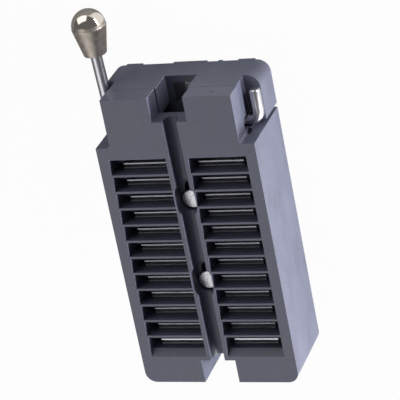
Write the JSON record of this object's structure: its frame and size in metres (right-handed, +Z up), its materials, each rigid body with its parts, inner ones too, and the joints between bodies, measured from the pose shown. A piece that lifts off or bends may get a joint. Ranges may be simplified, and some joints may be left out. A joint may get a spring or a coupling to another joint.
{
  "type": "dip test socket",
  "caption": "Zero insertion force test socket with two rows of slotted contacts under a sliding cover, driven by a bent rod lever with a domed knob.",
  "frame": {"origin": "centre of the 2 by 12 solder tail pattern, on the plane of the standoff pads", "axes": "+Y along the rows towards the lever head, +Z up out of the board, X across the rows"},
  "size_m": [0.025, 0.0554, 0.0152],
  "materials": {
    "cover_plastic": "moulded glass-filled plastic, dark slate grey, fine even texture",
    "base_plastic": "moulded glass-filled plastic, dark slate grey",
    "rod_steel": "drawn stainless rod, satin",
    "knob_plate": "nickel plate, turned, polished dome",
    "rivet_metal": "bright formed rivet, fine tumbled texture",
    "contact_metal": "nickel-plated copper alloy strip"
  },
  "bodies": {
    "base": {"base": "base_plastic", "rivets": "rivet_metal", "contact_left_01": "contact_metal", "contact_left_02": "contact_metal", "contact_left_03": "contact_metal", "contact_left_04": "contact_metal", "contact_left_05": "contact_metal", "contact_left_06": "contact_metal", "contact_left_07": "contact_metal", "contact_left_08": "contact_metal", "contact_left_09": "contact_metal", "contact_left_10": "contact_metal", "contact_left_11": "contact_metal", "contact_left_12": "contact_metal", "contact_right_01": "contact_metal", "contact_right_02": "contact_metal", "contact_right_03": "contact_metal", "contact_right_04": "contact_metal", "contact_right_05": "contact_metal", "contact_right_06": "contact_metal", "contact_right_07": "contact_metal", "contact_right_08": "contact_metal", "contact_right_09": "contact_metal", "contact_right_10": "contact_metal", "contact_right_11": "contact_metal", "contact_right_12": "contact_metal"},
    "cover": {"cover": "cover_plastic"},
    "lever": {"lever_rod": "rod_steel", "knob": "knob_plate"}
  },
  "joints": [
    {"name": "lever_turn", "type": "hinge", "parent": "base", "child": "lever", "pos_m": [0, 0.01879, 0.00645], "axis": [1, 0, 0], "range_deg": [0, 90]},
    {"name": "cover_slide", "type": "slide", "parent": "base", "child": "cover", "axis": [0, -1, 0], "range_m": [0, 0.00066], "deforming": ["contact_left_01", "contact_left_02", "contact_left_03", "contact_left_04", "contact_left_05", "contact_left_06", "contact_left_07", "contact_left_08", "contact_left_09", "contact_left_10", "contact_left_11", "contact_left_12", "contact_right_01", "contact_right_02", "contact_right_03", "contact_right_04", "contact_right_05", "contact_right_06", "contact_right_07", "contact_right_08", "contact_right_09", "contact_right_10", "contact_right_11", "contact_right_12"]}
  ],
  "couplings": [
    {"joint": "lever_turn", "follows": "cover_slide", "rad_per_m": 2380}
  ]
}
